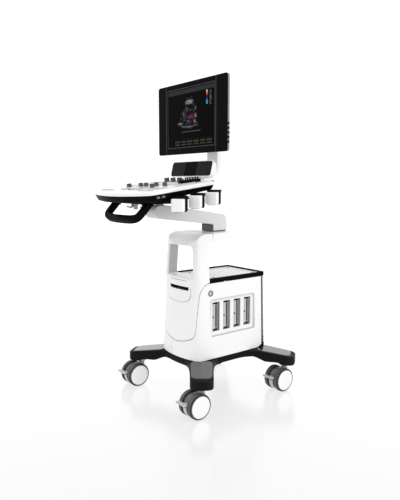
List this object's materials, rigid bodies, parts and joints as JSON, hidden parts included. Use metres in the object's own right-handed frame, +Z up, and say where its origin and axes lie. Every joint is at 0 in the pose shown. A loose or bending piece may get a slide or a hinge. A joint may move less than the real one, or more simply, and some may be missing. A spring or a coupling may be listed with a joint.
{
  "type": "ultrasound machine",
  "caption": "Cart ultrasound machine: braked twin-wheel casters, body with hand arch, swing arm, tilted console with handle and probe cups, flat monitor.",
  "frame": {"origin": "on the floor, below the middle of the machine's bounding box", "axes": "+Z up, the user stands at -Y and faces +Y, +X to the user's right"},
  "size_m": [0.5438, 0.7666, 1.293],
  "materials": {
    "white_shell": "satin moulded",
    "black_shell": "fine texture",
    "frame_casting": "black powder coat",
    "grey_light": "satin moulded",
    "grey_mid": "satin moulded",
    "grey_dark": "painted",
    "tyre": "moulded tread",
    "steel": "zinc plated",
    "electronics": "boards in a sheet case",
    "arm_shell": "painted casting",
    "screen": "matt display glass",
    "ball": "polished"
  },
  "bodies": {
    "frame": {"base_frame": "frame_casting", "chassis_frame": "steel", "column_frame": "steel", "left_panel": "white_shell", "right_panel": "white_shell", "rear_cover": "white_shell", "front_cover": "white_shell", "drive_bezel": "white_shell", "disc_drive": "electronics", "tray_top": "grey_light", "tray_rim": "black_shell", "port_frame": "white_shell", "port_board": "grey_mid", "electronics_module": "electronics", "power_supply": "electronics", "mains_inlet": "black_shell", "arm_cap": "white_shell"},
    "caster_front_left": {"caster_fork_front_left": "grey_mid"},
    "wheels_front_left": {"caster_wheels_front_left": "tyre"},
    "pedal_front_left": {"caster_pedal_front_left": "grey_light"},
    "caster_front_right": {"caster_fork_front_right": "grey_mid"},
    "wheels_front_right": {"caster_wheels_front_right": "tyre"},
    "pedal_front_right": {"caster_pedal_front_right": "grey_light"},
    "caster_rear_left": {"caster_fork_rear_left": "grey_mid"},
    "wheels_rear_left": {"caster_wheels_rear_left": "tyre"},
    "pedal_rear_left": {"caster_pedal_rear_left": "grey_light"},
    "caster_rear_right": {"caster_fork_rear_right": "grey_mid"},
    "wheels_rear_right": {"caster_wheels_rear_right": "tyre"},
    "pedal_rear_right": {"caster_pedal_rear_right": "grey_light"},
    "disc_tray": {"disc_tray": "black_shell"},
    "power_button": {"power_button": "grey_light"},
    "mains_switch": {"mains_switch": "black_shell"},
    "arm": {"swing_arm": "arm_shell", "arm_post": "grey_dark"},
    "console": {"console_base": "black_shell", "console_top": "white_shell", "handle": "black_shell", "key_mat": "grey_light", "slider_bank": "black_shell", "holder_rail": "black_shell", "probe_cup_1": "white_shell", "probe_cup_2": "white_shell", "probe_cup_3": "white_shell", "speaker_housing": "white_shell", "speaker_panel": "black_shell"},
    "trackball": {"trackball": "ball"},
    "knob_gain": {"knob_gain": "grey_mid"},
    "knob_mode_b": {"knob_mode_b": "grey_mid"},
    "knob_mode_colour": {"knob_mode_colour": "grey_mid"},
    "knob_mode_pulse": {"knob_mode_pulse": "grey_mid"},
    "knob_mode_m": {"knob_mode_m": "grey_mid"},
    "knob_focus": {"knob_focus": "grey_mid"},
    "knob_depth": {"knob_depth": "grey_mid"},
    "knob_zoom": {"knob_zoom": "grey_mid"},
    "knob_angle": {"knob_angle": "grey_mid"},
    "monitor_arm": {"monitor_arm": "arm_shell"},
    "monitor": {"monitor_yoke": "grey_dark", "monitor_back": "grey_dark", "monitor_bezel": "black_shell", "lcd_panel": "screen"}
  },
  "joints": [
    {"name": "swivel_front_left", "type": "hinge", "parent": "frame", "child": "caster_front_left", "pos_m": [-0.218, -0.1286, 0.1], "axis": [0, 0, 1], "continuous": true},
    {"name": "roll_front_left", "type": "hinge", "parent": "caster_front_left", "child": "wheels_front_left", "pos_m": [-0.218, -0.1626, 0.05], "axis": [1, 0, 0], "continuous": true},
    {"name": "brake_front_left", "type": "hinge", "parent": "caster_front_left", "child": "pedal_front_left", "pos_m": [-0.218, -0.1946, 0.061], "axis": [1, 0, 0], "range_deg": [0, 12]},
    {"name": "swivel_front_right", "type": "hinge", "parent": "frame", "child": "caster_front_right", "pos_m": [0.218, -0.1286, 0.1], "axis": [0, 0, 1], "continuous": true},
    {"name": "roll_front_right", "type": "hinge", "parent": "caster_front_right", "child": "wheels_front_right", "pos_m": [0.218, -0.1626, 0.05], "axis": [1, 0, 0], "continuous": true},
    {"name": "brake_front_right", "type": "hinge", "parent": "caster_front_right", "child": "pedal_front_right", "pos_m": [0.218, -0.1946, 0.061], "axis": [1, 0, 0], "range_deg": [0, 12]},
    {"name": "swivel_rear_left", "type": "hinge", "parent": "frame", "child": "caster_rear_left", "pos_m": [-0.218, 0.3294, 0.1], "axis": [0, 0, 1], "continuous": true},
    {"name": "roll_rear_left", "type": "hinge", "parent": "caster_rear_left", "child": "wheels_rear_left", "pos_m": [-0.218, 0.2954, 0.05], "axis": [1, 0, 0], "continuous": true},
    {"name": "brake_rear_left", "type": "hinge", "parent": "caster_rear_left", "child": "pedal_rear_left", "pos_m": [-0.218, 0.2634, 0.061], "axis": [1, 0, 0], "range_deg": [0, 12]},
    {"name": "swivel_rear_right", "type": "hinge", "parent": "frame", "child": "caster_rear_right", "pos_m": [0.218, 0.3294, 0.1], "axis": [0, 0, 1], "continuous": true},
    {"name": "roll_rear_right", "type": "hinge", "parent": "caster_rear_right", "child": "wheels_rear_right", "pos_m": [0.218, 0.2954, 0.05], "axis": [1, 0, 0], "continuous": true},
    {"name": "brake_rear_right", "type": "hinge", "parent": "caster_rear_right", "child": "pedal_rear_right", "pos_m": [0.218, 0.2634, 0.061], "axis": [1, 0, 0], "range_deg": [0, 12]},
    {"name": "tray_slide", "type": "slide", "parent": "frame", "child": "disc_tray", "axis": [0, -1, 0], "range_m": [0, 0.11]},
    {"name": "power_press", "type": "slide", "parent": "frame", "child": "power_button", "axis": [-1, 0, 0], "range_m": [0, 0.0025], "stiffness_N_per_m": 400},
    {"name": "mains_rock", "type": "hinge", "parent": "frame", "child": "mains_switch", "pos_m": [0.051, 0.2924, 0.259], "axis": [1, 0, 0], "range_deg": [0, 8]},
    {"name": "arm_swing", "type": "hinge", "parent": "frame", "child": "arm", "pos_m": [0, 0.1104, 0.684], "axis": [0, 0, 1], "range_deg": [-45, 45]},
    {"name": "console_turn", "type": "hinge", "parent": "arm", "child": "console", "pos_m": [0, -0.1856, 0.8095], "axis": [0, 0, 1], "range_deg": [-45, 45]},
    {"name": "trackball_roll", "type": "hinge", "parent": "console", "child": "trackball", "pos_m": [0, -0.27556, 0.85402], "axis": [1, 0, 0], "continuous": true},
    {"name": "knob_gain_turn", "type": "hinge", "parent": "console", "child": "knob_gain", "pos_m": [-0.11, -0.23967, 0.87206], "axis": [0, -0.1357, 0.9907], "continuous": true},
    {"name": "knob_mode_b_turn", "type": "hinge", "parent": "console", "child": "knob_mode_b", "pos_m": [-0.06, -0.21589, 0.87532], "axis": [0, -0.1357, 0.9907], "continuous": true},
    {"name": "knob_mode_colour_turn", "type": "hinge", "parent": "console", "child": "knob_mode_colour", "pos_m": [-0.025, -0.21391, 0.87559], "axis": [0, -0.1357, 0.9907], "continuous": true},
    {"name": "knob_mode_pulse_turn", "type": "hinge", "parent": "console", "child": "knob_mode_pulse", "pos_m": [0.06, -0.24165, 0.87179], "axis": [0, -0.1357, 0.9907], "continuous": true},
    {"name": "knob_mode_m_turn", "type": "hinge", "parent": "console", "child": "knob_mode_m", "pos_m": [0.03, -0.20202, 0.87722], "axis": [0, -0.1357, 0.9907], "continuous": true},
    {"name": "knob_focus_turn", "type": "hinge", "parent": "console", "child": "knob_focus", "pos_m": [0.085, -0.20004, 0.87749], "axis": [0, -0.1357, 0.9907], "continuous": true},
    {"name": "knob_depth_turn", "type": "hinge", "parent": "console", "child": "knob_depth", "pos_m": [-0.08, -0.07719, 0.89432], "axis": [0, -0.1357, 0.9907], "continuous": true},
    {"name": "knob_zoom_turn", "type": "hinge", "parent": "console", "child": "knob_zoom", "pos_m": [-0.035, -0.07719, 0.89432], "axis": [0, -0.1357, 0.9907], "continuous": true},
    {"name": "knob_angle_turn", "type": "hinge", "parent": "console", "child": "knob_angle", "pos_m": [0.01, -0.07719, 0.89432], "axis": [0, -0.1357, 0.9907], "continuous": true},
    {"name": "monitor_swivel", "type": "hinge", "parent": "console", "child": "monitor_arm", "pos_m": [0, 0.0444, 0.914], "axis": [0, 0, 1], "range_deg": [-45, 45]},
    {"name": "monitor_tilt", "type": "hinge", "parent": "monitor_arm", "child": "monitor", "pos_m": [0, 0.0764, 1.144], "axis": [1, 0, 0], "range_deg": [-20, 10]}
  ]
}
